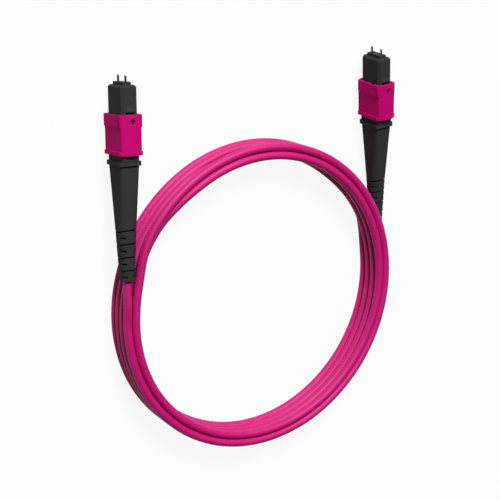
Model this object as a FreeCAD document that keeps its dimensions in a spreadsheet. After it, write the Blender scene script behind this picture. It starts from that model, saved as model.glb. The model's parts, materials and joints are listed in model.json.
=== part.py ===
import FreeCAD, Part
import math
import os

import Sketcher

# Fibre optic patch cable: a coiled round cord with a pinned multi-fibre push-on connector at each end.
# Millimetres, +Z up. The coil lies flat, the connectors lie beside each other and point along +Y.
# The origin is on the floor, below the middle of the pair of connectors.

Vector = FreeCAD.Vector
doc = FreeCAD.newDocument("patch_cable")

# Driving dimensions
DIMENSIONS = {
    # cord and coil
    "cable_diameter": 2.6,
    "inner_turn_radius": 45.9,
    "layer_spacing": 2.65,
    "slot_spacing": 2.75,
    "groove_depth": 0.85,
    "coil_centre_x": 0.15,
    "coil_centre_y": -45.21,
    "top_turn_ends_at": 152.0,
    "bottom_turn_starts_at": 25.0,
    # where the boots' cable ends lie: outside the outer turns, ahead of the coil's centre and above the
    # cord's slot; and how the connectors turn in plan
    "boot_a_outside": 0.0,
    "boot_a_ahead": 14.45,
    "boot_a_rise": 0.4,
    "connector_a_yaw": 2.25,
    "boot_b_outside": 0.45,
    "boot_b_ahead": 17.1,
    "boot_b_rise": 1.4,
    "connector_b_yaw": 6.1,
    # leads: straight run behind the boot, and level run before the coil
    "lead_a_straight": 7.0,
    "lead_a_level": 3.0,
    "lead_b_straight": 11.0,
    "lead_b_level": 5.0,
    # strain relief boot
    "boot_end_diameter": 4.35,
    "boot_mid_diameter": 5.95,
    "boot_mid_height": 15.5,
    "boot_taper_length": 34.0,
    "boot_top_width": 8.0,
    "boot_top_thickness": 6.0,
    "boot_corner_radius": 0.6,
    "boot_roundness": 0.45,
    "boot_bore_clearance": 0.15,
    "collar_width": 9.3,
    "collar_thickness": 6.9,
    "collar_length": 1.3,
    "collar_corner_radius": 0.7,
    "slit_height": 0.35,
    "slit_pitch": 3.9,
    "first_slit_height": 2.7,
    "slit_slope": 0.287,
    "bridge_width": 1.0,
    "boot_window_width": 1.75,
    "boot_window_height": 0.55,
    "first_window_height": 1.3,
    # crimp
    "barrel_diameter": 3.2,
    "barrel_bore": 2.2,
    "barrel_length": 9.1,
    "yarn_thickness": 0.2,
    "crimp_wall": 0.3,
    "crimp_grip_length": 2.4,
    "crimp_play": 0.02,
    "crimp_end_gap": 0.4,
    "boot_cavity_play": 0.1,
    # spring push
    "push_inset": 1.2,
    "push_length": 2.5,
    "push_play": 0.1,
    "arm_thickness": 0.4,
    "arm_width": 1.8,
    "arm_length": 3.6,
    "hook_reach": 0.55,
    "hook_length": 1.4,
    "window_play": 0.15,
    # inner housing
    "housing_width": 9.6,
    "housing_thickness": 5.3,
    "housing_corner": 0.4,
    "nose_width": 9.4,
    "nose_thickness": 5.1,
    "nose_corner": 0.8,
    "nose_length": 9.2,
    "nose_chamfer": 0.55,
    "cavity_width": 7.6,
    "cavity_thickness": 4.1,
    "front_cavity_thickness": 3.5,
    "key_width": 2.9,
    "key_height": 0.9,
    "key_length": 5.4,
    "key_setback": 1.7,
    "latch_width": 2.7,
    "latch_height": 0.45,
    "latch_length": 1.3,
    "latch_bevel": 0.75,
    "latch_slot_length": 1.5,
    "latch_slot_depth": 0.4,
    "latch_above_sleeve": 0.65,
    "ear_length": 1.0,
    "ear_inset": 3.6,
    # outer sleeve
    "sleeve_travel": 1.5,
    "sleeve_end_gap": 0.2,
    "sleeve_length": 11.6,
    "sleeve_flat_width": 9.7,
    "sleeve_thickness": 7.4,
    "sleeve_bulge": 1.35,
    "sleeve_play": 0.15,
    "sleeve_lip_length": 1.0,
    "sleeve_band_length": 3.5,
    "sleeve_foot_length": 1.2,
    "panel_depth": 0.5,
    "rim_notch_width": 1.7,
    "rim_notch_depth": 0.7,
    "rim_notch_reach": 0.55,
    "rim_notch_offset": 1.8,
    "dot_diameter": 1.4,
    "dot_below_rim": 1.8,
    # sleeve springs
    "sleeve_spring_diameter": 0.8,
    "sleeve_spring_wire": 0.2,
    "sleeve_spring_play": 0.12,
    "sleeve_spring_length": 6.8,
    # ferrule
    "ferrule_travel": 0.8,
    "ferrule_width": 6.4,
    "ferrule_thickness": 2.5,
    "ferrule_length": 8.1,
    "ferrule_protrusion": 0.85,
    "ferrule_play": 0.1,
    "flange_width": 7.2,
    "flange_thickness": 3.2,
    "flange_length": 2.0,
    "pocket_width": 3.4,
    "pocket_thickness": 1.6,
    "pocket_length": 4.0,
    "fill_window_length": 1.5,
    # guide pins and their clamp
    "pin_diameter": 0.7,
    "pin_pitch": 4.6,
    "pin_protrusion": 1.9,
    "pin_tip_length": 0.5,
    "pin_tip_diameter": 0.3,
    "pin_play": 0.01,
    "pin_shank_relief": 0.01,
    "pin_shank_reach": 0.05,
    "clamp_length": 2.0,
    # ferrule boot and fibres
    "ferrule_boot_play": 0.04,
    "ferrule_boot_wall": 0.4,
    "ferrule_boot_tail": 0.9,
    "ribbon_width": 2.4,
    "ribbon_thickness": 0.3,
    "ribbon_end_gap": 0.3,
    "fibre_bundle_width": 1.0,
    "fibre_bundle_thickness": 0.75,
    # ferrule spring
    "ferrule_spring_width": 6.2,
    "ferrule_spring_thickness": 3.7,
    "ferrule_spring_wire": 0.4,
}

sheet = doc.addObject("Spreadsheet::Sheet", "dims")
for row, (alias, number) in enumerate(DIMENSIONS.items(), start=1):
    sheet.set(f"A{row}", alias)
    sheet.set(f"B{row}", str(number))
    sheet.setAlias(f"B{row}", alias)
doc.recompute()


def size(expression):
    """The number that an expression on the sheet comes to."""
    return float(sheet.evalExpression(expression))


# Stations along a connector's axis, from the boot's cable end towards the pins
COLLAR_TOP = "(dims.boot_taper_length + dims.collar_length)"
HOUSING_REAR = COLLAR_TOP
PUSH_REAR = f"({HOUSING_REAR} + dims.push_inset)"
PUSH_FRONT = f"({PUSH_REAR} + dims.push_length)"
BARREL_END = f"({PUSH_REAR} - dims.barrel_length)"
JACKET_END = f"({BARREL_END} - dims.crimp_end_gap)"
CRIMP_REAR = f"({JACKET_END} - dims.crimp_grip_length)"
CRIMP_FRONT = f"({HOUSING_REAR} - dims.crimp_end_gap)"
SLEEVE_REAR = f"({COLLAR_TOP} + dims.sleeve_travel + dims.sleeve_end_gap)"
SLEEVE_FRONT = f"({SLEEVE_REAR} + dims.sleeve_length)"
NOSE_REAR = f"({SLEEVE_FRONT} - dims.sleeve_lip_length)"
NOSE_FRONT = f"({NOSE_REAR} + dims.nose_length)"
NECK_REAR = f"({NOSE_REAR} - dims.sleeve_travel - dims.sleeve_end_gap)"
EAR_REAR = f"({HOUSING_REAR} + dims.ear_inset)"
EAR_FRONT = f"({EAR_REAR} + dims.ear_length)"
FERRULE_FRONT = f"({NOSE_FRONT} + dims.ferrule_protrusion)"
FERRULE_REAR = f"({FERRULE_FRONT} - dims.ferrule_length)"
FLANGE_FRONT = f"({FERRULE_REAR} + dims.flange_length)"
CLAMP_REAR = f"({FERRULE_REAR} - dims.clamp_length)"
FRONT_CAVITY_REAR = f"({CLAMP_REAR} - dims.ferrule_play)"

# Sizes across the connector that several pieces share
SLEEVE_HALF_WIDTH = "(dims.sleeve_flat_width / 2 + dims.sleeve_bulge)"
SLEEVE_SIDE_RADIUS = "(dims.sleeve_thickness ^ 2 / (8 * dims.sleeve_bulge) + dims.sleeve_bulge / 2)"
YARN_BORE = "(dims.barrel_diameter + 2 * dims.crimp_play)"
YARN_FLATS = f"({YARN_BORE} + 2 * dims.yarn_thickness)"
CRIMP_INNER_FLATS = f"({YARN_FLATS} + 2 * dims.crimp_play)"
CRIMP_FLATS = f"({CRIMP_INNER_FLATS} + 2 * dims.crimp_wall)"
BOOT_CAVITY_FLATS = f"({CRIMP_FLATS} + 2 * dims.boot_cavity_play)"
PUSH_WIDTH = "(dims.cavity_width - 2 * dims.push_play)"
PUSH_THICKNESS = "(dims.cavity_thickness - 2 * dims.push_play)"
SPRING_SLOT_WIDTH = "(dims.sleeve_spring_diameter + 2 * dims.sleeve_spring_play)"
SPRING_AXIS = f"(dims.housing_width / 2 + dims.sleeve_play + {SPRING_SLOT_WIDTH} / 2)"
SLIT_REACH = "dims.collar_width"


# Drawing helpers: outlines are fixed point by point to the sheet

def rectangle(left, right, bottom, top):
    """Corners of a rectangle, counter-clockwise."""
    return [(left, bottom), (right, bottom), (right, top), (left, top)]


def centred(width, thickness):
    """Corners of a rectangle about the axis."""
    return rectangle(f"-({width}) / 2", f"({width}) / 2", f"-({thickness}) / 2", f"({thickness}) / 2")


def with_corners(width, thickness, corner, radius=None):
    """A rectangle about the axis whose corners are cut off, or rounded where a radius is given."""
    x, y = f"({width}) / 2", f"({thickness}) / 2"
    x_in, y_in = f"({x} - {corner})", f"({y} - {corner})"
    return [
        (f"-{x_in}", f"-{y}"), (x_in, f"-{y}", radius),
        (x, f"-{y_in}"), (x, y_in, radius),
        (x_in, y), (f"-{x_in}", y, radius),
        (f"-{x}", y_in), (f"-{x}", f"-{y_in}", radius),
    ]


def rounded(width, thickness, radius):
    """A rectangle about the axis with rounded corners."""
    return with_corners(width, thickness, radius, radius)


def faceted(width, thickness, radius, steps=4):
    """A rectangle about the axis whose round corners are short flats, so that lofts of it stay planar."""
    points = []
    for quarter, (side_x, side_y) in enumerate(((1, 1), (-1, 1), (-1, -1), (1, -1))):
        for step in range(steps + 1):
            angle = math.radians(90 * (quarter + step / steps))
            x = f"{side_x} * (({width}) / 2 - ({radius})) + ({radius}) * {math.cos(angle):.6f}"
            y = f"{side_y} * (({thickness}) / 2 - ({radius})) + ({radius}) * {math.sin(angle):.6f}"
            points.append((x, y))
    return points


def hexagon(flats):
    """Hexagon about the axis with two flats across its thickness."""
    point, edge, half = f"({flats}) / sqrt(3)", f"({flats}) / sqrt(12)", f"({flats}) / 2"
    return [(point, "0"), (edge, half), (f"-{edge}", half), (f"-{point}", "0"),
            (f"-{edge}", f"-{half}"), (edge, f"-{half}")]


def arc_through(start, end, radius):
    """The shorter arc that turns counter-clockwise from start to end."""
    chord = end - start
    bulge = radius - math.sqrt(max(radius ** 2 - chord.Length ** 2 / 4, 0))
    outward = Vector(chord.y, -chord.x, 0).normalize()
    return Part.Arc(start, (start + end) / 2 + outward * bulge, end)


def outline(sketch, points):
    """Closed outline through points (x, y) or (x, y, radius of the arc to the next point)."""
    first = sketch.GeometryCount
    count = len(points)
    places = [Vector(size(point[0]), size(point[1]), 0) for point in points]
    radii = [point[2] if len(point) > 2 else None for point in points]
    for index, radius in enumerate(radii):
        start, end = places[index], places[(index + 1) % count]
        edge = arc_through(start, end, size(radius)) if radius else Part.LineSegment(start, end)
        sketch.addGeometry(edge)
    for index in range(count):
        follower = first + (index + 1) % count
        sketch.addConstraint(Sketcher.Constraint("Coincident", first + index, 2, follower, 1))
    for index, point in enumerate(points):
        for kind, expression in (("DistanceX", point[0]), ("DistanceY", point[1])):
            bind(sketch, Sketcher.Constraint(kind, -1, 1, first + index, 1, size(expression)), expression)
        if radii[index]:
            bind(sketch, Sketcher.Constraint("Radius", first + index, size(radii[index])), radii[index])


def circle(sketch, x, y, diameter):
    """Circle fixed to the sheet."""
    index = sketch.addGeometry(Part.Circle(Vector(size(x), size(y), 0), Vector(0, 0, 1), size(diameter) / 2))
    for kind, expression in (("DistanceX", x), ("DistanceY", y)):
        bind(sketch, Sketcher.Constraint(kind, -1, 1, index, 3, size(expression)), expression)
    bind(sketch, Sketcher.Constraint("Diameter", index, size(diameter)), diameter)


def bind(sketch, constraint, expression):
    """Adds a constraint whose value follows the sheet."""
    index = sketch.addConstraint(constraint)
    sketch.setExpression(f"Constraints[{index}]", expression)


# Feature helpers

def new_body(label):
    body = doc.addObject("PartDesign::Body", label)
    body.Label = label
    return body


def new_sketch(body, name, height, plane="XY_Plane"):
    """Sketch in a body, parallel to one of its planes, at a height along that plane's normal."""
    sketch = body.newObject("Sketcher::SketchObject", f"{body.Name}_{name}")
    support = next(f for f in body.Origin.OriginFeatures if f.Role == plane)
    sketch.AttachmentSupport = [(support, "")]
    sketch.MapMode = "FlatFace"
    sketch.setExpression("AttachmentOffset.Base.z", height)
    return sketch


def section(body, name, height, *outlines, plane="XY_Plane"):
    """Sketch that holds closed outlines."""
    sketch = new_sketch(body, name, height, plane)
    for points in outlines:
        outline(sketch, points)
    return sketch


def pad(body, sketch, length, symmetric=False):
    feature = body.newObject("PartDesign::Pad", f"{sketch.Name}_pad")
    feature.Profile = sketch
    feature.setExpression("Length", length)
    feature.SideType = "Symmetric" if symmetric else "One side"
    return feature


def pocket(body, sketch, length, forward=True, symmetric=False):
    """Cut from the sketch, along its normal or, if forward is false, against it, or to both sides."""
    feature = body.newObject("PartDesign::Pocket", f"{sketch.Name}_pocket")
    feature.Profile = sketch
    feature.SideType = "Symmetric" if symmetric else "One side"
    feature.Reversed = forward
    feature.setExpression("Length", length)
    return feature


def flat_loft(name, sections):
    """Solid with flat sides through (height, outline) sections whose edges are parallel pair by pair.

    A loft feature would make the same flats as spline faces, which mesh heavily.
    """
    rings = []
    for height, points in sections:
        rings.append([Vector(size(x), size(y), size(height)) for x, y in points])
    faces = [polygon_face(list(reversed(rings[0]))), polygon_face(rings[-1])]
    for lower, upper in zip(rings, rings[1:]):
        count = len(lower)
        for index in range(count):
            follower = (index + 1) % count
            faces.append(polygon_face([lower[index], lower[follower], upper[follower], upper[index]]))
    feature = doc.addObject("Part::Feature", name)
    feature.Shape = Part.makeSolid(Part.makeShell(faces))
    return feature


def polygon_face(corners):
    return Part.Face(Part.makePolygon(corners + corners[:1]))


def repeat_along_axis(body, feature, count, pitch):
    """Row of copies of a cut along the connector's axis."""
    pattern = body.newObject("PartDesign::LinearPattern", f"{feature.Name}_row")
    pattern.Originals = [feature]
    axis = next(f for f in body.Origin.OriginFeatures if f.Role == "Z_Axis")
    pattern.Direction = (axis, [""])
    pattern.Mode = "Spacing"
    pattern.setExpression("Offset", pitch)
    pattern.Occurrences = count
    body.Tip = pattern
    return pattern


def chamfer_front(body, height, depth):
    """Bevels the outer edges of the face that closes a body at a height on its axis."""
    doc.recompute()
    tip = body.Tip
    top = size(height)
    front = [f for f in tip.Shape.Faces if abs(f.BoundBox.ZMin - top) + abs(f.BoundBox.ZMax - top) < 1e-6]
    rim = [edge for face in front for edge in face.OuterWire.Edges]
    names = [
        f"Edge{index}" for index, edge in enumerate(tip.Shape.Edges, start=1)
        if any(edge.isSame(other) for other in rim)
    ]
    feature = body.newObject("PartDesign::Chamfer", f"{body.Name}_front_bevel")
    feature.Base = (tip, names)
    feature.setExpression("Size", depth)
    return feature


def box(name, left, right, bottom, top, rear, front):
    """Block between six planes."""
    block = doc.addObject("Part::Box", name)
    block.setExpression("Length", f"({right}) - ({left})")
    block.setExpression("Width", f"({top}) - ({bottom})")
    block.setExpression("Height", f"({front}) - ({rear})")
    block.setExpression("Placement.Base.x", left)
    block.setExpression("Placement.Base.y", bottom)
    block.setExpression("Placement.Base.z", rear)
    return block


def bar(name, width, thickness, rear, front):
    """Block about the axis."""
    return box(name, f"-({width}) / 2", f"({width}) / 2", f"-({thickness}) / 2", f"({thickness}) / 2", rear, front)


def rod(name, diameter, rear, front, x="0"):
    """Cylinder along the axis, or beside it at x."""
    cylinder = doc.addObject("Part::Cylinder", name)
    cylinder.setExpression("Radius", f"({diameter}) / 2")
    cylinder.setExpression("Height", f"({front}) - ({rear})")
    cylinder.setExpression("Placement.Base.x", x)
    cylinder.setExpression("Placement.Base.z", rear)
    return cylinder


def fuse(name, shapes):
    feature = doc.addObject("Part::MultiFuse", name)
    feature.Shapes = shapes
    feature.Refine = True
    return feature


def cut(name, base, tools):
    feature = doc.addObject("Part::Cut", name)
    feature.Base = base
    feature.Tool = tools[0] if len(tools) == 1 else fuse(f"{name}_tools", tools)
    feature.Refine = True
    return feature


# Strain relief boot: moulded rubber, rectangular at its collar and round at the cord; its thin end is cut by
# slits that rise towards both narrow sides, with rows of four windows on the diagonals between them

SLIT_ROWS = 4


def half_slit(side, reach):
    """Slanting slit on one side of the bridges, seen across the boot's broad side."""
    corners = []
    for out, edge in (("dims.bridge_width / 2", -1), (reach, -1), (reach, 1), ("dims.bridge_width / 2", 1)):
        height = f"dims.first_slit_height + dims.slit_slope * {out} + {edge} * dims.slit_height / 2"
        corners.append((f"{side} * {out}", height))
    return corners


def diagonal_windows(width, far):
    """Four rectangles on the diagonals, from inside the bore to far outside the wall."""
    half, near = f"({width} / 2)", f"({width} * 0.55)"
    windows = []
    for side_x, side_y in ((1, 1), (-1, 1), (-1, -1), (1, -1)):
        windows.append([
            (f"({side_x} * {out} - {side_y} * {aside}) / sqrt(2)", f"({side_y} * {out} + {side_x} * {aside}) / sqrt(2)")
            for out, aside in ((near, f"-{half}"), (far, f"-{half}"), (far, half), (near, half))
        ])
    return windows


def make_boot(label):
    end, mid = "dims.boot_end_diameter", "dims.boot_mid_diameter"
    taper = flat_loft(f"{label}_taper", [
        ("0", faceted(end, end, f"{end} * dims.boot_roundness")),
        ("dims.boot_mid_height", faceted(mid, mid, f"{mid} * dims.boot_roundness")),
        ("dims.boot_taper_length", faceted(
            "dims.boot_top_width", "dims.boot_top_thickness", "dims.boot_corner_radius")),
    ])
    body = new_body(label)
    body.BaseFeature = taper
    collar = section(body, "collar", "dims.boot_taper_length", rounded(
        "dims.collar_width", "dims.collar_thickness", "dims.collar_corner_radius"))
    pad(body, collar, "dims.collar_length")
    bore = "(dims.cable_diameter + 2 * dims.boot_bore_clearance)"
    pocket(body, section(body, "bore", "0", faceted(bore, bore, f"{bore} * dims.boot_roundness")), COLLAR_TOP)
    cavity_rear = f"({CRIMP_REAR} - dims.boot_cavity_play)"
    cavity = section(body, "cavity", cavity_rear, hexagon(BOOT_CAVITY_FLATS))
    pocket(body, cavity, f"{COLLAR_TOP} - {cavity_rear}")
    slits = section(body, "slits", "0", half_slit(1, SLIT_REACH), half_slit(-1, SLIT_REACH), plane="XZ_Plane")
    slit_cut = pocket(body, slits, f"2 * {SLIT_REACH}", symmetric=True)
    repeat_along_axis(body, slit_cut, SLIT_ROWS, "dims.slit_pitch")
    windows = section(body, "windows", "dims.first_window_height - dims.boot_window_height / 2",
                      *diagonal_windows("dims.boot_window_width", SLIT_REACH))
    window_cut = pocket(body, windows, "dims.boot_window_height")
    repeat_along_axis(body, window_cut, SLIT_ROWS, "dims.slit_pitch")
    return body


# Cord end, yarn and crimp: the ring is crimped to a hexagon over the yarn and round on the jacket

def make_cable_end(label):
    body = new_body(label)
    jacket = new_sketch(body, "jacket", "0")
    circle(jacket, "0", "0", "dims.cable_diameter")
    pad(body, jacket, JACKET_END)
    return body


def make_strength_yarn(label):
    body = new_body(label)
    length = f"{CRIMP_FRONT} - {BARREL_END}"
    pad(body, section(body, "outside", BARREL_END, hexagon(YARN_FLATS)), length)
    bore = new_sketch(body, "bore", BARREL_END)
    circle(bore, "0", "0", YARN_BORE)
    pocket(body, bore, length)
    return body


def make_crimp_ring(label):
    body = new_body(label)
    pad(body, section(body, "outside", CRIMP_REAR, hexagon(CRIMP_FLATS)), f"{CRIMP_FRONT} - {CRIMP_REAR}")
    grip = new_sketch(body, "grip", CRIMP_REAR)
    circle(grip, "0", "0", "dims.cable_diameter + 2 * dims.crimp_play")
    pocket(body, grip, "dims.crimp_grip_length")
    pocket(body, section(body, "over_yarn", JACKET_END, hexagon(CRIMP_INNER_FLATS)), f"{CRIMP_FRONT} - {JACKET_END}")
    return body


# Spring push: moulded rear body with the crimp barrel behind it and two snap arms in front

ARM_OUTER = f"({PUSH_WIDTH} / 2)"
ARM_INNER = f"({ARM_OUTER} - dims.arm_thickness)"
ARM_FRONT = f"({PUSH_FRONT} + dims.arm_length)"
HOOK_FRONT = f"({ARM_FRONT} - dims.arm_thickness)"
HOOK_REAR = f"({HOOK_FRONT} - dims.hook_length)"


def make_spring_push(label):
    body = new_body(label)
    pad(body, section(body, "block", PUSH_REAR, centred(PUSH_WIDTH, PUSH_THICKNESS)), "dims.push_length")
    barrel = new_sketch(body, "barrel", BARREL_END)
    circle(barrel, "0", "0", "dims.barrel_diameter")
    pad(body, barrel, "dims.barrel_length")
    half = "dims.arm_width / 2"
    arms = section(
        body, "arms", PUSH_FRONT,
        rectangle(ARM_INNER, ARM_OUTER, f"-{half}", half),
        rectangle(f"-{ARM_OUTER}", f"-{ARM_INNER}", f"-{half}", half),
    )
    pad(body, arms, "dims.arm_length")
    tip = f"({ARM_OUTER} + dims.hook_reach)"
    hooks = section(
        body, "hooks", "0",
        [(ARM_INNER, HOOK_REAR), (tip, HOOK_REAR), (ARM_OUTER, HOOK_FRONT), (ARM_INNER, HOOK_FRONT)],
        [(f"-{ARM_INNER}", HOOK_REAR), (f"-{ARM_INNER}", HOOK_FRONT), (f"-{ARM_OUTER}", HOOK_FRONT),
         (f"-{tip}", HOOK_REAR)],
        plane="XZ_Plane",
    )
    pad(body, hooks, "dims.arm_width", symmetric=True)
    bore = new_sketch(body, "bore", BARREL_END)
    circle(bore, "0", "0", "dims.barrel_bore")
    pocket(body, bore, "dims.barrel_length + dims.push_length")
    return body


# Inner housing: moulded plug body whose nose enters the adapter

LATCH_REAR = f"({SLEEVE_FRONT} + dims.latch_above_sleeve)"
LATCH_FRONT = f"({LATCH_REAR} + dims.latch_length)"


def latch_profile(side):
    """Latch ramp on one narrow face: bevelled towards the nose, square towards the sleeve."""
    foot = f"{side} * (dims.nose_width / 2 - dims.latch_slot_depth)"
    face = f"{side} * (dims.nose_width / 2)"
    peak = f"{side} * (dims.nose_width / 2 + dims.latch_height)"
    return [(foot, LATCH_REAR), (peak, LATCH_REAR), (peak, f"{LATCH_FRONT} - dims.latch_bevel"),
            (face, LATCH_FRONT), (foot, LATCH_FRONT)]


def make_inner_housing(label):
    body = new_body(label)
    rear = section(body, "rear", HOUSING_REAR, with_corners(
        "dims.housing_width", "dims.housing_thickness", "dims.housing_corner"))
    pad(body, rear, f"{NECK_REAR} - {HOUSING_REAR}")
    neck = section(body, "neck", NECK_REAR, with_corners(
        "dims.nose_width", "dims.nose_thickness", "dims.housing_corner"))
    pad(body, neck, f"{NOSE_REAR} - {NECK_REAR}")
    nose = section(body, "nose", NOSE_REAR, with_corners(
        "dims.nose_width", "dims.nose_thickness", "dims.nose_corner"))
    pad(body, nose, "dims.nose_length")
    chamfer_front(body, NOSE_FRONT, "dims.nose_chamfer")
    key_rear = f"{NOSE_FRONT} - dims.key_setback - dims.key_length"
    key = section(body, "key", key_rear, rectangle(
        "-dims.key_width / 2", "dims.key_width / 2", "0", "dims.nose_thickness / 2 + dims.key_height"))
    pad(body, key, "dims.key_length")
    ear_reach = f"({SPRING_AXIS} + dims.sleeve_spring_diameter / 2)"
    ears = section(body, "ears", EAR_REAR, rectangle(
        f"-{ear_reach}", ear_reach, "-dims.sleeve_spring_diameter / 2", "dims.sleeve_spring_diameter / 2"))
    pad(body, ears, "dims.ear_length")
    half = "dims.latch_width / 2"
    floor_x = "(dims.nose_width / 2 - dims.latch_slot_depth)"
    outside = "dims.sleeve_flat_width"
    slots = section(
        body, "latch_slots", f"{LATCH_REAR} - dims.latch_slot_length",
        rectangle(floor_x, outside, f"-{half}", half), rectangle(f"-{outside}", f"-{floor_x}", f"-{half}", half),
    )
    pocket(body, slots, "dims.latch_slot_length")
    ramps = section(body, "latch_ramps", "0", latch_profile(1), latch_profile(-1), plane="XZ_Plane")
    pad(body, ramps, "dims.latch_width", symmetric=True)
    cavity = section(body, "cavity", HOUSING_REAR, centred("dims.cavity_width", "dims.cavity_thickness"))
    pocket(body, cavity, f"{FRONT_CAVITY_REAR} - {HOUSING_REAR}")
    front_cavity = section(body, "front_cavity", HOUSING_REAR, centred(
        "dims.cavity_width", "dims.front_cavity_thickness"))
    pocket(body, front_cavity, f"{FLANGE_FRONT} - {HOUSING_REAR}")
    mouth = section(body, "mouth", HOUSING_REAR, centred(
        "dims.ferrule_width + 2 * dims.ferrule_play", "dims.ferrule_thickness + 2 * dims.ferrule_play"))
    pocket(body, mouth, f"{NOSE_FRONT} - {HOUSING_REAR}")
    window_half = "(dims.arm_width / 2 + dims.window_play)"
    windows = section(body, "windows", f"{HOOK_REAR} - dims.window_play", rectangle(
        "-dims.housing_width", "dims.housing_width", f"-{window_half}", window_half))
    pocket(body, windows, "dims.hook_length + 2 * dims.window_play")
    return body


# Outer sleeve: moulded coupling sleeve with flat gripping panels and bowed narrow sides

def sleeve_outline():
    x, y = "dims.sleeve_flat_width / 2", "dims.sleeve_thickness / 2"
    return [(f"-{x}", f"-{y}"), (x, f"-{y}", SLEEVE_SIDE_RADIUS), (x, y), (f"-{x}", y, SLEEVE_SIDE_RADIUS)]


def make_outer_sleeve(label):
    body = new_body(label)
    pad(body, section(body, "shell", SLEEVE_REAR, sleeve_outline()), "dims.sleeve_length")
    panel, beyond = "(dims.sleeve_thickness / 2 - dims.panel_depth)", "dims.sleeve_thickness"
    wide = SLEEVE_HALF_WIDTH
    panels = section(
        body, "panels", f"{SLEEVE_REAR} + dims.sleeve_foot_length",
        rectangle(f"-{wide}", wide, panel, beyond), rectangle(f"-{wide}", wide, f"-{beyond}", f"-{panel}"),
    )
    pocket(body, panels, "dims.sleeve_length - dims.sleeve_foot_length - dims.sleeve_band_length")
    cavity = section(body, "cavity", SLEEVE_REAR, centred(
        "dims.housing_width + 2 * dims.sleeve_play", "dims.housing_thickness + 2 * dims.sleeve_play"))
    pocket(body, cavity, "dims.sleeve_length - dims.sleeve_lip_length")
    mouth_thickness = "(dims.nose_thickness + 2 * dims.sleeve_play)"
    mouth = section(body, "mouth", SLEEVE_REAR, centred(
        "dims.nose_width + 2 * dims.sleeve_play", "dims.nose_thickness + dims.sleeve_play"))
    pocket(body, mouth, "dims.sleeve_length")
    slot_reach = f"({SPRING_AXIS} + {SPRING_SLOT_WIDTH} / 2)"
    slots = section(body, "spring_slots", SLEEVE_REAR, rectangle(
        f"-{slot_reach}", slot_reach, f"-{SPRING_SLOT_WIDTH} / 2", f"{SPRING_SLOT_WIDTH} / 2"))
    pocket(body, slots, f"{EAR_FRONT} + dims.sleeve_spring_length - {SLEEVE_REAR}")
    notch_half = f"({mouth_thickness} / 2 + dims.rim_notch_reach)"
    inner, outer = "(dims.rim_notch_offset - dims.rim_notch_width / 2)", \
        "(dims.rim_notch_offset + dims.rim_notch_width / 2)"
    notches = section(
        body, "rim_notches", f"{SLEEVE_FRONT} - dims.rim_notch_depth",
        rectangle(inner, outer, f"-{notch_half}", notch_half),
        rectangle(f"-{outer}", f"-{inner}", f"-{notch_half}", notch_half),
    )
    pocket(body, notches, "dims.rim_notch_depth")
    dot = new_sketch(body, "dot", SLEEVE_HALF_WIDTH, "YZ_Plane")
    circle(dot, "0", f"{SLEEVE_FRONT} - dims.dot_below_rim", "dims.dot_diameter")
    pocket(body, dot, f"{SLEEVE_HALF_WIDTH} - dims.housing_width / 2", forward=False)
    return body


# Springs: lofted through sections of the wire, which keeps the turns light

SPRING_TURNS = 4
WIRE_SIDES = 4


def spring_shape(half_width, half_thickness, wire, rear, front, sections_per_turn, axis_x=0):
    """Coil spring of oval or round plan between two planes across its axis, which may lie beside the plug's."""
    rise = front - rear - wire
    count = SPRING_TURNS * sections_per_turn + 1
    wires = []
    for step in range(count):
        angle = 2 * math.pi * step / sections_per_turn
        outward = Vector(math.cos(angle), math.sin(angle), 0)
        height = rear + wire / 2 + rise * step / (count - 1)
        centre = Vector(axis_x + half_width * outward.x, half_thickness * outward.y, height)
        corners = []
        for side in range(WIRE_SIDES):
            turn = math.pi / WIRE_SIDES + 2 * math.pi * side / WIRE_SIDES
            reach = wire / 2 / math.cos(math.pi / WIRE_SIDES)
            corners.append(centre + outward * (reach * math.cos(turn)) + Vector(0, 0, reach * math.sin(turn)))
        wires.append(Part.makePolygon(corners + corners[:1]))
    return Part.makeLoft(wires, True, True)


def make_ferrule_spring(label):
    wire = size("dims.ferrule_spring_wire")
    feature = doc.addObject("Part::Feature", label)
    feature.Shape = spring_shape(
        (size("dims.ferrule_spring_width") - wire) / 2, (size("dims.ferrule_spring_thickness") - wire) / 2,
        wire, size(PUSH_FRONT), size(CLAMP_REAR), sections_per_turn=10)
    return feature


def make_sleeve_spring(label, side):
    wire = size("dims.sleeve_spring_wire")
    radius = (size("dims.sleeve_spring_diameter") - wire) / 2
    rear = size(EAR_FRONT)
    feature = doc.addObject("Part::Feature", label)
    front = rear + size("dims.sleeve_spring_length")
    axis_x = side * size(SPRING_AXIS)
    feature.Shape = spring_shape(radius, radius, wire, rear, front, sections_per_turn=6, axis_x=axis_x)
    return feature


# Ferrule with its pins, clamp, boot and fibres

def make_ferrule(label):
    nose = bar(f"{label}_nose", "dims.ferrule_width", "dims.ferrule_thickness", FERRULE_REAR, FERRULE_FRONT)
    flange = bar(f"{label}_flange", "dims.flange_width", "dims.flange_thickness", FERRULE_REAR, FLANGE_FRONT)
    block = fuse(f"{label}_block", [nose, flange])
    hole = "dims.pin_diameter + 2 * dims.pin_play"
    holes = [
        rod(f"{label}_hole_{name}", hole, FERRULE_REAR, FERRULE_FRONT, f"{sign} * dims.pin_pitch / 2")
        for name, sign in (("upper", 1), ("lower", -1))
    ]
    pocket_front = f"({FERRULE_REAR} + dims.pocket_length)"
    hollow = bar(f"{label}_pocket", "dims.pocket_width", "dims.pocket_thickness", FERRULE_REAR, pocket_front)
    half = "dims.pocket_width / 2"
    window = box(f"{label}_window", f"-{half}", half, "0", "dims.ferrule_thickness",
                 f"{pocket_front} - dims.fill_window_length", pocket_front)
    return cut(label, block, holes + [hollow, window])


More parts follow.
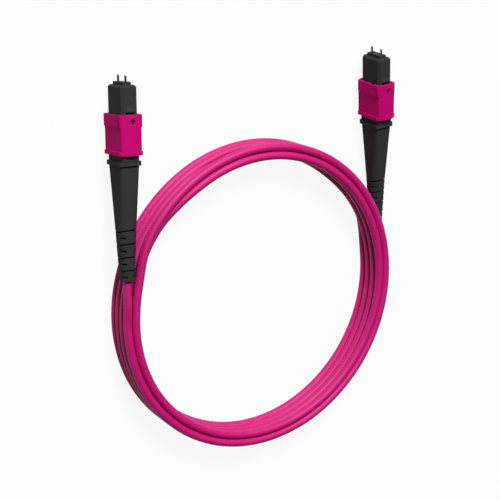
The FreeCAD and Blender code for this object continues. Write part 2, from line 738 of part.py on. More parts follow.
def make_guide_pin(label, side):
    """Round free end and tip; the shank, which the ferrule hides, is drawn with six flats."""
    axis_x = f"{side} * dims.pin_pitch / 2"
    shoulder = f"({FERRULE_FRONT} + dims.pin_protrusion - dims.pin_tip_length)"
    shank_front = f"({FERRULE_FRONT} + dims.pin_shank_reach)"
    shank = doc.addObject("Part::Prism", f"{label}_shank")
    shank.Polygon = 6
    shank.setExpression("Circumradius", "dims.pin_diameter / 2 - dims.pin_shank_relief")
    shank.setExpression("Height", f"{shank_front} - {CLAMP_REAR}")
    shank.setExpression("Placement.Base.x", axis_x)
    shank.setExpression("Placement.Base.z", CLAMP_REAR)
    free_end = rod(f"{label}_free_end", "dims.pin_diameter", shank_front, shoulder, axis_x)
    tip = doc.addObject("Part::Cone", f"{label}_tip")
    tip.setExpression("Radius1", "dims.pin_diameter / 2")
    tip.setExpression("Radius2", "dims.pin_tip_diameter / 2")
    tip.setExpression("Height", "dims.pin_tip_length")
    tip.setExpression("Placement.Base.x", axis_x)
    tip.setExpression("Placement.Base.z", shoulder)
    return fuse(label, [shank, free_end, tip])


def make_pin_clamp(label):
    """Block with a fork at each side that holds a pin."""
    block = bar(f"{label}_block", "dims.flange_width", "dims.flange_thickness", CLAMP_REAR, FERRULE_REAR)
    half = "(dims.pin_diameter / 2 + dims.pin_play)"
    fork_floor, outside = f"(dims.pin_pitch / 2 - {half})", "dims.flange_width"
    forks = [
        box(f"{label}_fork_upper", fork_floor, outside, f"-{half}", half, CLAMP_REAR, FERRULE_REAR),
        box(f"{label}_fork_lower", f"-{outside}", f"-{fork_floor}", f"-{half}", half, CLAMP_REAR, FERRULE_REAR),
    ]
    window = bar(f"{label}_window", "dims.pocket_width", "dims.pocket_thickness", CLAMP_REAR, FERRULE_REAR)
    return cut(label, block, forks + [window])


FERRULE_BOOT_REAR = f"({CLAMP_REAR} - dims.ferrule_boot_tail)"
FERRULE_BOOT_FRONT = f"({FERRULE_REAR} + dims.pocket_length - dims.fill_window_length)"


def make_ferrule_boot(label):
    width = "(dims.pocket_width - 2 * dims.ferrule_boot_play)"
    thickness = "(dims.pocket_thickness - 2 * dims.ferrule_boot_play)"
    outer = bar(f"{label}_outer", width, thickness, FERRULE_BOOT_REAR, FERRULE_BOOT_FRONT)
    inner = bar(f"{label}_inner", "dims.ribbon_width + 2 * dims.ferrule_boot_play",
                "dims.ribbon_thickness + 2 * dims.ferrule_boot_play", FERRULE_BOOT_REAR, FERRULE_BOOT_FRONT)
    return cut(label, outer, [inner])


def make_fibre_ribbon(label):
    gather = f"({PUSH_FRONT} + dims.ferrule_travel + dims.ribbon_end_gap)"
    rear = f"({BARREL_END} + dims.ferrule_travel + dims.ribbon_end_gap)"
    front = f"({FERRULE_REAR} + dims.pocket_length)"
    flat = bar(f"{label}_flat", "dims.ribbon_width", "dims.ribbon_thickness", gather, front)
    bundle = bar(f"{label}_bundle", "dims.fibre_bundle_width", "dims.fibre_bundle_thickness",
                 rear, f"{gather} + dims.fibre_bundle_width")
    return fuse(label, [flat, bundle])


# Connectors: every piece is drawn on the connector's axis and laid in place with it

def rest_tilt(height, contact_station):
    """Angle of the axis at which the sleeve's lower side meets the floor at a station along it."""
    reach = math.hypot(contact_station, size(SLEEVE_HALF_WIDTH))
    slope = math.atan2(size(SLEEVE_HALF_WIDTH), contact_station)
    return slope - math.asin(height / reach)


def connector_placement(x, y, height, yaw, contact_station):
    """Placement with the boot's cable end at a point, the nose along +Y and the wide side upright."""
    tilt = rest_tilt(height, contact_station)
    axis = Vector(math.sin(yaw) * math.cos(tilt), math.cos(yaw) * math.cos(tilt), math.sin(tilt))
    across = axis.cross(Vector(0, 0, 1)).normalize()
    upright = across.cross(axis)
    turn = FreeCAD.Rotation(upright, across, axis, "ZXY")
    return FreeCAD.Placement(Vector(x, y, height), turn)


PIECES = {
    "boot": make_boot,
    "cable_end": make_cable_end,
    "strength_yarn": make_strength_yarn,
    "crimp_ring": make_crimp_ring,
    "spring_push": make_spring_push,
    "inner_housing": make_inner_housing,
    "outer_sleeve": make_outer_sleeve,
    "sleeve_spring_upper": lambda label: make_sleeve_spring(label, 1),
    "sleeve_spring_lower": lambda label: make_sleeve_spring(label, -1),
    "ferrule_spring": make_ferrule_spring,
    "pin_clamp": make_pin_clamp,
    "ferrule": make_ferrule,
    "guide_pin_upper": lambda label: make_guide_pin(label, 1),
    "guide_pin_lower": lambda label: make_guide_pin(label, -1),
    "ferrule_boot": make_ferrule_boot,
    "fibre_ribbon": make_fibre_ribbon,
}

SLOTS = 4
OUTER_TURN_RADIUS = "(dims.inner_turn_radius + dims.layer_spacing)"


def slot_height(slot):
    """Height of a turn's middle, slots counted from the floor."""
    return f"({slot - 0.5} * dims.slot_spacing)"


coil_centre = Vector(size("dims.coil_centre_x"), size("dims.coil_centre_y"), 0)
placements = {
    "a": connector_placement(
        coil_centre.x - size(f"{OUTER_TURN_RADIUS} + dims.boot_a_outside"), coil_centre.y + size("dims.boot_a_ahead"),
        size(f"{slot_height(SLOTS)} + dims.boot_a_rise"), math.radians(size("dims.connector_a_yaw")), size(SLEEVE_FRONT)),
    "b": connector_placement(
        coil_centre.x + size(f"{OUTER_TURN_RADIUS} + dims.boot_b_outside"), coil_centre.y + size("dims.boot_b_ahead"),
        size(f"{slot_height(1)} + dims.boot_b_rise"), -math.radians(size("dims.connector_b_yaw")), size(SLEEVE_REAR)),
}

nodes = []
for end, placement in placements.items():
    for name, make in PIECES.items():
        piece = make(f"{name}_{end}")
        piece.Label = f"{name}_{end}"
        piece.Placement = placement
        nodes.append(piece)


# Leads: the cord runs straight on from each boot, bends towards the coil and comes level with its slot there

def lead_route(end, slot, side):
    """Points of a lead from the boot's end to the coil, and the angle at which it leaves the coil."""
    boot_end = placements[end].Base
    axis = placements[end].Rotation.multVec(Vector(0, 0, 1))
    bend = boot_end - axis * size(f"dims.lead_{end}_straight")
    across = Vector(bend.x - coil_centre.x, bend.y - coil_centre.y, 0)
    radius = size(OUTER_TURN_RADIUS)
    angle = math.atan2(across.y, across.x) + side * math.acos(radius / across.Length)
    coil_end = coil_centre + Vector(radius * math.cos(angle), radius * math.sin(angle), size(slot_height(slot)))
    back = Vector(bend.x - coil_end.x, bend.y - coil_end.y, 0).normalize()
    return [boot_end, bend, coil_end + back * size(f"dims.lead_{end}_level"), coil_end], math.degrees(angle)


def lead_tube(label, points, diameter):
    """Round tube along points with the largest arcs that the runs allow; prints its bend radii."""
    edges, radii, last = [], [], points[0]
    for before, corner, after in zip(points, points[1:], points[2:]):
        into, out = corner - before, after - corner
        turn = into.getAngle(out)
        trim = 0.45 * min(into.Length, out.Length)
        radius = trim / math.tan(turn / 2)
        radii.append(round(radius, 1))
        start, end = corner - into.normalize() * trim, corner + out.normalize() * trim
        depth = radius / math.cos(turn / 2) - radius
        edges.append(Part.LineSegment(last, start).toShape())
        edges.append(Part.Arc(start, corner + (out - into).normalize() * depth, end).toShape())
        last = end
    edges.append(Part.LineSegment(last, points[-1]).toShape())
    path = Part.Wire(edges)
    direction = (points[1] - points[0]).normalize()
    face = Part.Face(Part.Wire([Part.makeCircle(diameter / 2, points[0], direction)]))
    feature = doc.addObject("Part::Feature", label)
    feature.Shape = path.makePipe(face)
    feature.Label = label
    expected = math.pi * diameter ** 2 / 4 * path.Length
    print(label, "length", round(path.Length, 2), "bend radii", radii,
          "volume ratio", round(feature.Shape.Volume / expected, 5))
    return feature


route_a, leaves_a = lead_route("a", SLOTS, 1)
route_b, leaves_b = lead_route("b", 1, -1)
lead_a = lead_tube("cable_lead_a", route_a, size("dims.cable_diameter"))
lead_b = lead_tube("cable_lead_b", route_b, size("dims.cable_diameter"))
for row, (alias, angle) in enumerate((("lead_a_leaves_at", leaves_a), ("lead_b_leaves_at", leaves_b)), start=1):
    sheet.set(f"D{row}", str(angle % 360))
    sheet.setAlias(f"D{row}", alias)
doc.recompute()


# Coil: two layers of four turns as one solid; the outer top and bottom turns stop where the leads begin

INNER, OUTER = "dims.inner_turn_radius", OUTER_TURN_RADIUS
HALF_R, HALF_Z = "(dims.layer_spacing / 2)", "(dims.slot_spacing / 2)"
BETWEEN_LAYERS = f"({INNER} + {HALF_R})"


def ring(name, points, start="0", sweep="360"):
    """Solid of revolution about the coil's axis of an outline in radius and height."""
    sketch = doc.addObject("Sketcher::SketchObject", f"{name}_outline")
    sketch.Placement = FreeCAD.Placement(Vector(0, 0, 0), FreeCAD.Rotation(Vector(1, 0, 0), 90))
    outline(sketch, points)
    solid = doc.addObject("Part::Revolution", name)
    solid.Source = sketch
    solid.Axis = Vector(0, 0, 1)
    solid.Base = Vector(0, 0, 0)
    solid.Solid = True
    solid.setExpression("Angle", sweep)
    solid.setExpression("Placement.Rotation.Angle", start)
    solid.setExpression("Placement.Base.x", "dims.coil_centre_x")
    solid.setExpression("Placement.Base.y", "dims.coil_centre_y")
    return solid


def ridges(slots):
    """Zigzag over the outsides of two neighbouring outer turns, with the groove between them."""
    first, second = (slot_height(slot) for slot in slots)
    peak = f"{OUTER} + {HALF_R}"
    return [(peak, first), (f"{peak} - dims.groove_depth", f"({first} + {second}) / 2"), (peak, second)]


def edge_turn(end_slot, next_slot, outward):
    """Section of an outer turn at the top or bottom of the coil, reaching into the turns beside it."""
    edge = f"{slot_height(end_slot)} + {outward} * {HALF_Z}"
    return [(INNER, slot_height(next_slot)), *ridges([next_slot, end_slot]), (OUTER, edge), (INNER, edge)]


def make_coil(label):
    bottom, top = f"{slot_height(1)} - {HALF_Z}", f"{slot_height(SLOTS)} + {HALF_Z}"
    over_first, under_last = f"{slot_height(2)} - {HALF_Z}", f"{slot_height(3)} + {HALF_Z}"
    whole_turns = [
        (INNER, bottom), (BETWEEN_LAYERS, slot_height(1)), (BETWEEN_LAYERS, over_first), (OUTER, over_first),
        *ridges([2, 3]),
        (OUTER, under_last), (BETWEEN_LAYERS, under_last), (BETWEEN_LAYERS, slot_height(4)), (INNER, top),
        (f"{INNER} - {HALF_R}", slot_height(4)), (f"{INNER} - {HALF_R}", slot_height(1)),
    ]
    top_turn = ring(
        f"{label}_top_turn", edge_turn(SLOTS, SLOTS - 1, 1),
        "dims.lead_a_leaves_at", "360 + dims.top_turn_ends_at - dims.lead_a_leaves_at")
    bottom_turn = ring(
        f"{label}_bottom_turn", list(reversed(edge_turn(1, 2, -1))),
        "dims.bottom_turn_starts_at", "dims.lead_b_leaves_at - dims.bottom_turn_starts_at")
    return fuse(label, [ring(f"{label}_whole_turns", whole_turns), top_turn, bottom_turn])


coil = make_coil("cable_coil")
nodes += [coil, lead_a, lead_b]

# Every piece is checked before any file is written
doc.recompute()
for item in doc.Objects:
    if {"Invalid", "Error"} & set(item.State):
        raise RuntimeError(f"{item.Name} failed: {item.State}")
for piece in nodes:
    if piece.Shape.isNull() or not piece.Shape.isValid() or len(piece.Shape.Solids) != 1:
        raise RuntimeError(f"{piece.Label} is not one valid solid")

os.makedirs("parts", exist_ok=True)
for piece in nodes:
    piece.Shape.exportStep(f"parts/{piece.Label}.step")
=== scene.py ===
import json
import math

import bmesh
import bpy
from mathutils import Matrix, Vector


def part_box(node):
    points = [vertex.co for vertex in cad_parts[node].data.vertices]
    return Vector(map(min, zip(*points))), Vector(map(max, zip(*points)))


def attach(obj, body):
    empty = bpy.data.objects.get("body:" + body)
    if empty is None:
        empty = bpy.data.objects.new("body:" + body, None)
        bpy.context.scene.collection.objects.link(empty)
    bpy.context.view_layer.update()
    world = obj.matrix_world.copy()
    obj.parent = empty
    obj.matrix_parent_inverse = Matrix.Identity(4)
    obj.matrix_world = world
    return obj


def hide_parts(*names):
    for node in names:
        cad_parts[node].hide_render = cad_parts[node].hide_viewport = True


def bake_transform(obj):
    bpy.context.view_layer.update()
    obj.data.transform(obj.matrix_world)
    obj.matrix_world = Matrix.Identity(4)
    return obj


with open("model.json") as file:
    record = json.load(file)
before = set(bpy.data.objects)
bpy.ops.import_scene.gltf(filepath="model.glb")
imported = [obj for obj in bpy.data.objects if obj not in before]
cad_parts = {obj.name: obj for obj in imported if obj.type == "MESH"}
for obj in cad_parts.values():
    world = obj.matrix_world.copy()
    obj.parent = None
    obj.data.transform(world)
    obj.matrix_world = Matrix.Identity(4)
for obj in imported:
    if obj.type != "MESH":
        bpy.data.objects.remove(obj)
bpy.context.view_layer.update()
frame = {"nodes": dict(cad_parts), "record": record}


# Camera: looks down on the coil over its left side, as the photograph does.
# Its direction, distance and lens come from fitting the rims of the coil and the corners of both plugs.
coil_low, coil_high = (Vector(corner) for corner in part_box("cable_coil"))
coil_middle = (coil_low + coil_high) / 2
swing, dip, roll = (math.radians(angle) for angle in (32.705, 16.581, 0.175))
camera_distance, aim_left, aim_above = 0.3782, 0.002642, 0.014298
sensor_width, focal_length = 36, 85.19

towards_camera = Vector((-math.sin(swing) * math.cos(dip), math.sin(dip), math.cos(swing) * math.cos(dip)))
picture_right = Vector((math.cos(swing), 0, math.sin(swing)))
picture_up = towards_camera.cross(picture_right)
turned = Matrix((picture_right, picture_up, towards_camera)).transposed() @ Matrix.Rotation(roll, 3, "Z")

camera_data = bpy.data.cameras.new("camera")
camera_data.sensor_width = sensor_width
camera_data.lens = focal_length
camera = bpy.data.objects.new("camera", camera_data)
bpy.context.collection.objects.link(camera)
camera.matrix_world = Matrix.Translation(
    coil_middle - picture_right * aim_left + picture_up * aim_above + towards_camera * camera_distance
) @ turned.to_4x4()
bpy.context.scene.camera = camera


# Cord: a round jacket extruded over fibres and yarn, wound by hand into two layers of four turns.
# It leaves the left boot for the top outer turn, steps down through the coil and ends in the right boot.
# Crossings, where it steps to the next turn, are measured in degrees along the winding.
cord_diameter = 0.0026
inner_turn_radius = 0.0459
layer_spacing = 0.00265
slot_spacing = 0.00275
plug_length = 0.0568
lead_straight = {"a": 0.007, "b": 0.011}
lead_level = {"a": 0.003, "b": 0.005}
turns = [
    ("outer", 4), ("inner", 4), ("inner", 3), ("outer", 3),
    ("outer", 2), ("inner", 2), ("inner", 1), ("outer", 1),
]
first_crossing, crossing_interval, crossing_length = 505.0, 337.5, 22.5
turn_step = 10.0
jacket_colours = (0.515, 0.002, 0.15, 1), (0.58, 0.004, 0.182, 1)
jacket_clouds, jacket_grains = 90.0, 2600.0
jacket_roughness, jacket_spread, jacket_relief = 0.52, 0.12, 0.00001

mounts = {mount["name"]: mount for mount in frame["record"]["mounts"]}


def turn_place(layer, slot):
    """Radius and height of a turn's middle."""
    radius = inner_turn_radius + (layer_spacing if layer == "outer" else 0)
    return Vector((radius, (slot - 0.5) * slot_spacing))


def lead_route(end, turn, side):
    """Points of a lead from the boot towards the coil, and the angle in degrees where it meets the coil.

    It may meet the turn on either side of the boot: side is 1 or -1.
    """
    nose = mounts[f"plug_nose_{end}"]
    axis = Vector(nose["axis"]).normalized()
    boot_end = Vector(nose["pos_m"]) - axis * plug_length
    bend = boot_end - axis * lead_straight[end]
    radius, height = turn_place(*turn)
    across = bend - coil_middle
    angle = math.atan2(across.y, across.x) + side * math.acos(radius / across.xy.length)
    touch_x, touch_y = coil_middle.x + radius * math.cos(angle), coil_middle.y + radius * math.sin(angle)
    back = Vector((bend.x - touch_x, bend.y - touch_y, 0)).normalized()
    arrival = Vector((touch_x, touch_y, height)) + back * lead_level[end]
    return [boot_end, bend, arrival], math.degrees(angle) % 360


def coil_point(angle):
    """Control point of the winding; it stands outside the turn because the spline cuts its corners."""
    passed = (angle - first_crossing) / crossing_interval
    crossing = min(max(math.floor(passed), 0), len(turns) - 2)
    share = (angle - first_crossing - crossing * crossing_interval) / crossing_length
    share = min(max(share, 0), 1)
    blend = share * share * (3 - 2 * share)
    place = turn_place(*turns[crossing]).lerp(turn_place(*turns[crossing + 1]), blend)
    radius = place.x / math.cos(math.radians(turn_step / 2))
    turn = math.radians(angle)
    return (coil_middle.x + radius * math.cos(turn), coil_middle.y + radius * math.sin(turn), place.y)


lead_a, leaves_a = lead_route("a", turns[0], 1)
lead_b, leaves_b = lead_route("b", turns[-1], -1)
wound = leaves_b + 360 * (len(turns) - 1) - leaves_a
steps = round(wound / turn_step)
winding = [coil_point(leaves_a + wound * step / steps) for step in range(steps + 1)]
route = [*lead_a, *winding, *reversed(lead_b)]

cord_curve = bpy.data.curves.new("cord", "CURVE")
cord_curve.dimensions = "3D"
cord_curve.bevel_depth = cord_diameter / 2
cord_curve.bevel_resolution = 6
cord_curve.resolution_u = 5
spline = cord_curve.splines.new("NURBS")
spline.points.add(len(route) - 1)
for point, place in zip(spline.points, route):
    point.co = (*place, 1)
spline.order_u = 3
spline.use_endpoint_u = True
cord = bpy.data.objects.new("cord", cord_curve)
bpy.context.collection.objects.link(cord)


class Value:
    """A socket in an expression: the operators add Math nodes."""

    def __init__(self, nodes, socket):
        self.nodes = nodes
        self.socket = socket

    def _math(self, operation, first, second):
        return self.nodes.node("ShaderNodeMath", {"operation": operation}, {0: first, 1: second})

    def __add__(self, other):
        return self._math("ADD", self, other)

    def __sub__(self, other):
        return self._math("SUBTRACT", self, other)

    def __rsub__(self, other):
        return self._math("SUBTRACT", other, self)

    def __mul__(self, other):
        return self._math("MULTIPLY", self, other)

    __radd__ = __add__
    __rmul__ = __mul__


class Nodes:
    """A node tree that is filled node by node."""

    def __init__(self, tree):
        self.tree = tree

    def set(self, node, inputs):
        """Gives sockets, by name or number, their values or links."""
        for key, value in inputs.items():
            if isinstance(value, Value):
                self.tree.links.new(value.socket, node.inputs[key])
            else:
                node.inputs[key].default_value = value

    def node(self, kind, settings=None, inputs=None, output=0):
        """Adds a node: its settings first, then its sockets; returns one of its outputs."""
        node = self.tree.nodes.new(kind)
        for key, value in (settings or {}).items():
            setattr(node, key, value)
        self.set(node, inputs or {})
        return Value(self, node.outputs[output])


class Finish(Nodes):
    """The nodes of one material."""

    def __init__(self, name):
        self.material = bpy.data.materials.new(name)
        self.material.use_nodes = True
        super().__init__(self.material.node_tree)
        self.shader = self.tree.nodes["Principled BSDF"]

    def noise(self, scale, detail, roughness=0.5):
        """Noise over the piece, with features about 1 / scale metres across."""
        place = self.node("ShaderNodeTexCoord", output="Object")
        return self.node("ShaderNodeTexNoise", {}, {
            "Vector": place, "Scale": scale, "Detail": detail, "Roughness": roughness,
        })

    def mix(self, factor, first, second):
        """Colour between two colours."""
        return self.node("ShaderNodeMix", {"data_type": "RGBA"}, {0: factor, 6: first, 7: second}, output=2)

    def bump(self, height, distance, strength):
        """Relief of a height field, in metres."""
        return self.node("ShaderNodeBump", {}, {"Height": height, "Distance": distance, "Strength": strength})


def jacket_finish():
    """Magenta jacket, satin from the extruder, with faint clouding and a fine grain."""
    finish = Finish("jacket")
    cloud = finish.noise(jacket_clouds, detail=3.0)
    grain = finish.noise(jacket_grains, detail=3.0, roughness=0.6)
    finish.set(finish.shader, {
        "Base Color": finish.mix(cloud, *jacket_colours),
        "Specular IOR Level": 0.42,
        "Roughness": jacket_roughness + grain * jacket_spread,
        "Normal": finish.bump(grain, jacket_relief, strength=0.3),
    })
    return finish.material


jacket = jacket_finish()
cord_curve.materials.append(jacket)
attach(cord, "cable_and_plugs")
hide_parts("cable_coil", "cable_lead_a", "cable_lead_b")


def give_finish(material, *names):
    """Puts a finish on pieces that are shown as the frame has them."""
    for name in names:
        materials = frame["nodes"][name].data.materials
        materials.clear()
        materials.append(material)


give_finish(jacket, "cable_end_a", "cable_end_b")


# Boots: soft black mouldings that slip over the crimp and hold the cord's bend at the plug's back.
# Slanting slits that rise towards both narrow sides, with small windows between them, let the thin end flex.
# The mould left a matt, finely grained skin.
boot_edge = 0.00009
boot_colours = (0.032, 0.032, 0.033, 1), (0.040, 0.040, 0.041, 1)
mould_clouds, mould_spread = 260.0, 0.16
merge_distance, sharp_angle, shortest_rounded_edge = 1e-6, math.radians(30), 0.0004


def moulded_finish(name, colours, roughness, grains, relief):
    """Moulded plastic: clouded colour, with the grain of the mould in its sheen and relief.

    Its shine is kept low, so that the white floor leaves no grey haze on the black.
    """
    finish = Finish(name)
    cloud = finish.noise(mould_clouds, detail=3.0)
    grain = finish.noise(grains, detail=3.0, roughness=0.65)
    finish.set(finish.shader, {
        "Base Color": finish.mix(cloud, *colours),
        "Specular IOR Level": 0.008,
        "Roughness": roughness - mould_spread / 2 + grain * mould_spread,
        "Normal": finish.bump(grain, relief, strength=0.6),
    })
    return finish.material


def round_off(name, node, edge, material, body):
    """A piece in its finished shape: the frame's outline with its faces joined and its long edges rounded."""
    mesh = bpy.data.meshes.new(name)
    shape = bmesh.new()
    shape.from_mesh(frame["nodes"][node].data)
    bmesh.ops.remove_doubles(shape, verts=shape.verts, dist=merge_distance)
    weight = shape.edges.layers.float.new("bevel_weight_edge")
    for side in shape.edges:
        sharp = side.calc_face_angle(0) > sharp_angle
        rounded = sharp and side.is_convex and side.calc_length() > shortest_rounded_edge
        side[weight] = float(rounded)
        side.smooth = rounded or not sharp
    for face in shape.faces:
        face.smooth = True
    shape.to_mesh(mesh)
    shape.free()
    mesh.materials.clear()
    mesh.materials.append(material)
    piece = bpy.data.objects.new(name, mesh)
    bpy.context.collection.objects.link(piece)
    rounding = piece.modifiers.new("rounded_edges", "BEVEL")
    rounding.width = edge
    rounding.segments = 2
    rounding.limit_method = "WEIGHT"
    rounding.use_clamp_overlap = False
    flats = piece.modifiers.new("flat_faces", "WEIGHTED_NORMAL")
    flats.keep_sharp = True
    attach(piece, body)
    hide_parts(node)


boot_skin = moulded_finish("boot_skin", boot_colours, roughness=0.52, grains=5200.0, relief=0.00004)
for end in "ab":
    round_off(f"boot_{end}_moulded", f"boot_{end}", boot_edge, boot_skin, "cable_and_plugs")


# Crimp, yarn and rear body: the metal ring squeezes the cord's yarn onto the barrel of a black moulding.
# They sit inside the boot and the plug, and only their finishes are given here.
crimp_colour = (0.62, 0.60, 0.57, 1)
yarn_colours = (0.80, 0.62, 0.22, 1), (0.64, 0.496, 0.176, 1)
plug_colours = (0.032, 0.032, 0.033, 1), (0.040, 0.040, 0.041, 1)
mark_shade, mark_spread, mark_relief = 0.85, 0.12, 0.00001


def metal_finish(name, colour, roughness, marks):
    """Bare metal with fine drawing marks in its colour and sheen."""
    finish = Finish(name)
    drawn = finish.noise(marks, detail=4.0, roughness=0.7)
    shaded = tuple(mark_shade * part for part in colour[:3]) + (1,)
    finish.set(finish.shader, {
        "Base Color": finish.mix(drawn, colour, shaded),
        "Metallic": 1.0,
        "Roughness": roughness - mark_spread / 2 + drawn * mark_spread,
        "Normal": finish.bump(drawn, mark_relief, strength=0.4),
    })
    return finish.material


plug_plastic = moulded_finish("plug_plastic", plug_colours, roughness=0.42, grains=4200.0, relief=0.00003)
crimp_metal = metal_finish("crimp_metal", crimp_colour, roughness=0.38, marks=3000.0)
yarn_fibre = moulded_finish("yarn_fibre", yarn_colours, roughness=0.7, grains=9000.0, relief=0.00006)
for end in "ab":
    give_finish(crimp_metal, f"crimp_ring_{end}")
    give_finish(yarn_fibre, f"strength_yarn_{end}")
    give_finish(plug_plastic, f"spring_push_{end}")


# Plug bodies: black glass-filled mouldings with a rounded nose, a key on one broad side and, on both narrow
# sides, the ramp and slot that the latch arms of an adapter take hold of.
body_edge = 0.00012

for end in "ab":
    round_off(f"inner_housing_{end}_moulded", f"inner_housing_{end}", body_edge, plug_plastic,
              "cable_and_plugs")


# Sleeves: magenta mouldings round the plug bodies, pulled back against two springs to let go of an adapter.
# The finger grips on the broad sides are sunk between a front band and a foot.
# A round mark shows the side of the first fibre.
sleeve_edge = 0.00013
sleeve_colours = (0.49, 0.003, 0.14, 1), (0.55, 0.005, 0.165, 1)

sleeve_plastic = moulded_finish("sleeve_plastic", sleeve_colours, roughness=0.40, grains=3600.0,
                                relief=0.00003)
for end in "ab":
    round_off(f"outer_sleeve_{end}_moulded", f"outer_sleeve_{end}", sleeve_edge, sleeve_plastic,
              f"sleeve_{end}")


# Springs: wound from drawn steel wire. Two thin ones in slots of the sleeve push it forward off the plug
# body, and an oval one pushes the ferrule forward off the rear body.
# Each shortens as its piece is pressed back.
spring_turns, steps_per_turn, wire_sides = 4, 20, 8
sleeve_spring_sizes = {"width": 0.0008, "thickness": 0.0008, "wire": 0.0002}
ferrule_spring_sizes = {"width": 0.0062, "thickness": 0.0037, "wire": 0.0004}
spring_colour = (0.55, 0.55, 0.56, 1)

spring_steel = metal_finish("spring_steel", spring_colour, roughness=0.3, marks=2400.0)


def winding_nodes():
    """Geometry nodes that wind a spring upwards: a spiral, drawn in to an oval, is swept with round wire."""
    nodes = Nodes(bpy.data.node_groups.new("spring_winding", "GeometryNodeTree"))
    sizes = "width", "thickness", "length", "wire"
    for size in sizes:
        nodes.tree.interface.new_socket(size, in_out="INPUT", socket_type="NodeSocketFloat")
    nodes.tree.interface.new_socket("spring", in_out="OUTPUT", socket_type="NodeSocketGeometry")
    given = nodes.tree.nodes.new("NodeGroupInput").outputs
    width, thickness, length, wire = (Value(nodes, given[size]) for size in sizes)

    spiral = nodes.node("GeometryNodeCurveSpiral", {}, {
        "Resolution": steps_per_turn, "Rotations": spring_turns, "Start Radius": 0.5, "End Radius": 0.5,
        "Height": 1.0, "Reverse": True,
    })
    reach = nodes.node("ShaderNodeCombineXYZ", {}, {
        "X": width - wire, "Y": thickness - wire, "Z": length - wire,
    })
    path = nodes.node("GeometryNodeTransform", {}, {"Geometry": spiral, "Scale": reach})
    section = nodes.node("GeometryNodeCurvePrimitiveCircle", {}, {
        "Resolution": wire_sides, "Radius": wire * 0.5,
    })
    swept = nodes.node("GeometryNodeCurveToMesh", {}, {
        "Curve": path, "Profile Curve": section, "Fill Caps": True,
    })
    whole = nodes.node("GeometryNodeRealizeInstances", {}, {"Geometry": swept})
    steel = nodes.node("GeometryNodeSetMaterial", {}, {"Geometry": whole, "Material": spring_steel})
    nodes.set(nodes.tree.nodes.new("NodeGroupOutput"), {"spring": steel})
    return nodes.tree


spring_winding = winding_nodes()


def wound_spring(name, end, sizes):
    """Spring of round wire, wound over the length of the frame's spring from its rear end to its front end.
    """
    node = f"{name}_{end}"
    axis = Vector(mounts[f"plug_nose_{end}"]["axis"]).normalized()
    upper, lower = (Vector(mounts[f"guide_pin_{pin}_{end}"]["pos_m"]) for pin in ("upper", "lower"))
    broad = (upper - lower).normalized()
    to_plug = Matrix((broad, axis.cross(broad), axis))
    from_plug = to_plug.transposed()
    corners = [to_plug @ vertex.co for vertex in frame["nodes"][node].data.vertices]
    low, high = (Vector([pick(values) for values in zip(*corners)]) for pick in (min, max))
    middle = (low + high) / 2
    rear, front = (from_plug @ Vector((middle.x, middle.y, height)) for height in (low.z, high.z))

    mandrel = bpy.data.objects.new("mandrel", bpy.data.meshes.new("mandrel"))
    bpy.context.collection.objects.link(mandrel)
    wind = mandrel.modifiers.new("wind", "NODES")
    wind.node_group = spring_winding
    for socket in spring_winding.interface.items_tree:
        if socket.in_out == "INPUT":
            wind[socket.identifier] = {**sizes, "length": high.z - low.z}[socket.name]
    mesh = bpy.data.meshes.new_from_object(mandrel.evaluated_get(bpy.context.evaluated_depsgraph_get()))
    bpy.data.meshes.remove(mandrel.data)  # takes the mandrel with it
    mesh.name = f"{node}_wound"
    mesh.transform(Matrix.Translation(rear + axis * sizes["wire"] / 2) @ from_plug.to_4x4())
    for face in mesh.polygons:
        face.use_smooth = True

    spring = bpy.data.objects.new(mesh.name, mesh)
    bpy.context.collection.objects.link(spring)
    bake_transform(spring)
    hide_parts(node)


for end in "ab":
    wound_spring("sleeve_spring_upper", end, sleeve_spring_sizes)
    wound_spring("sleeve_spring_lower", end, sleeve_spring_sizes)
    wound_spring("ferrule_spring", end, ferrule_spring_sizes)


# Ferrules: dark precision mouldings that hold the fibres' polished ends between two steel guide pins.
# A clamp behind the ferrule keeps the pins in; a soft boot and the ribbon of fibres follow it.
ferrule_edge = 0.00006
ferrule_colours = (0.030, 0.030, 0.031, 1), (0.038, 0.038, 0.039, 1)
pin_radius, pin_length, pin_tip_length, pin_tip_radius = 0.00035, 0.0120, 0.0005, 0.00015
pin_middle_to_tip = 0.001175
pin_sides, pin_tip_steps, pin_sharp_angle = 32, 6, math.radians(40)
pin_colour, clamp_colour = (0.30, 0.30, 0.31, 1), (0.50, 0.49, 0.47, 1)
ribbon_colours = (0.10, 0.42, 0.46, 1), (0.14, 0.50, 0.54, 1)

ferrule_plastic = moulded_finish("ferrule_plastic", ferrule_colours, roughness=0.35, grains=6500.0,
                                 relief=0.00001)
pin_steel = metal_finish("pin_steel", pin_colour, roughness=0.22, marks=5200.0)
clamp_steel = metal_finish("clamp_steel", clamp_colour, roughness=0.35, marks=2600.0)
ribbon_coating = moulded_finish("ribbon_coating", ribbon_colours, roughness=0.3, grains=3000.0,
                                relief=0.00001)


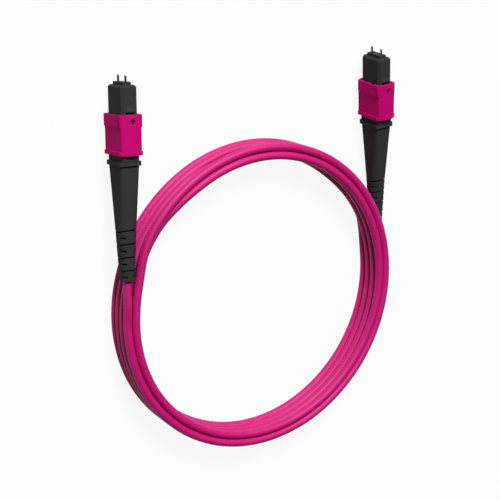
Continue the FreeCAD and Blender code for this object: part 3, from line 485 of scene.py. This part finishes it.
def turned_pin(name, end):
    """Ground steel pin with a rounded tip, turned about its axis."""
    mount = mounts[f"{name}_{end}"]
    axis = Vector(mount["axis"]).normalized()
    tip = Vector(mount["pos_m"]) + axis * pin_middle_to_tip
    profile = [(pin_length, 0), (pin_length, pin_radius), (pin_tip_length, pin_radius)]
    for step in range(1, pin_tip_steps + 1):
        turn = math.radians(90 * step / pin_tip_steps)
        reach = pin_tip_radius + (pin_radius - pin_tip_radius) * math.cos(turn)
        profile.append((pin_tip_length * (1 - math.sin(turn)), reach))
    profile.append((0, 0))
    shape = bmesh.new()
    rings = [shape.verts.new((radius, 0, -back)) for back, radius in profile]
    for first, second in zip(rings, rings[1:]):
        shape.edges.new((first, second))
    bmesh.ops.spin(shape, geom=shape.verts[:] + shape.edges[:], cent=(0, 0, 0), axis=(0, 0, 1),
                   angle=math.tau, steps=pin_sides)
    bmesh.ops.remove_doubles(shape, verts=shape.verts, dist=merge_distance)
    bmesh.ops.recalc_face_normals(shape, faces=shape.faces)
    for face in shape.faces:
        face.smooth = True
    for side in shape.edges:
        side.smooth = side.calc_face_angle(0) < pin_sharp_angle
    shape.transform(Matrix.Translation(tip) @ axis.to_track_quat("Z", "Y").to_matrix().to_4x4())
    mesh = bpy.data.meshes.new(f"{name}_{end}_turned")
    shape.to_mesh(mesh)
    shape.free()
    mesh.materials.append(pin_steel)
    pin = bpy.data.objects.new(mesh.name, mesh)
    bpy.context.collection.objects.link(pin)
    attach(pin, f"ferrule_set_{end}")
    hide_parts(f"{name}_{end}")


for end in "ab":
    round_off(f"ferrule_{end}_moulded", f"ferrule_{end}", ferrule_edge, ferrule_plastic,
              f"ferrule_set_{end}")
    turned_pin("guide_pin_upper", end)
    turned_pin("guide_pin_lower", end)
    give_finish(clamp_steel, f"pin_clamp_{end}")
    give_finish(boot_skin, f"ferrule_boot_{end}")
    give_finish(ribbon_coating, f"fibre_ribbon_{end}")


# Floor and light: white paper under one soft lamp, which hangs beyond the plugs' noses, as high as it is far.
# It lights the tops; the paper and a faint white room leave the upright left sides about half as bright.
floor_half_size, floor_colour, white_share = 3.0, (0.7, 0.7, 0.7, 1), 0.92
lamp_offset, lamp_size, lamp_watts = Vector((-0.09, 0.91, 0.89)), 0.4, 21.0
room_strength = 0.05


def floor_finish():
    """White paper; what the camera sees of it is lifted towards white and keeps a soft shadow."""
    finish = Finish("floor_paper")
    finish.set(finish.shader, {"Base Color": floor_colour, "Roughness": 0.9})
    camera_ray, glossy_ray, transmission_ray = (
        finish.node("ShaderNodeLightPath", output=name)
        for name in ("Is Camera Ray", "Is Glossy Ray", "Is Transmission Ray")
    )
    seen = camera_ray + glossy_ray + transmission_ray
    white = finish.node("ShaderNodeEmission", {}, {"Color": (1, 1, 1, 1), "Strength": 1.0})
    lit = Value(finish, finish.shader.outputs[0])
    paper = finish.node("ShaderNodeMixShader", {}, {0: seen * white_share, 1: lit, 2: white})
    finish.set(finish.tree.nodes["Material Output"], {"Surface": paper})
    return finish.material


floor_mesh = bpy.data.meshes.new("floor")
corners = [(x * floor_half_size, y * floor_half_size, 0) for x, y in ((-1, -1), (1, -1), (1, 1), (-1, 1))]
floor_mesh.from_pydata(corners, [], [(0, 1, 2, 3)])
floor_mesh.materials.append(floor_finish())
floor = bpy.data.objects.new("floor", floor_mesh)
bpy.context.collection.objects.link(floor)

lamp_data = bpy.data.lights.new("lamp", "AREA")
lamp_data.size = lamp_size
lamp_data.energy = lamp_watts
lamp = bpy.data.objects.new("lamp", lamp_data)
bpy.context.collection.objects.link(lamp)
lamp.location = coil_middle + lamp_offset
lamp.rotation_euler = (coil_middle - lamp.location).to_track_quat("-Z", "Y").to_euler()

room = bpy.data.worlds.new("room")
room.use_nodes = True
room.node_tree.nodes["Background"].inputs["Color"].default_value = (1, 1, 1, 1)
room.node_tree.nodes["Background"].inputs["Strength"].default_value = room_strength
bpy.context.scene.world = room
bpy.context.scene.view_settings.view_transform = "Standard"
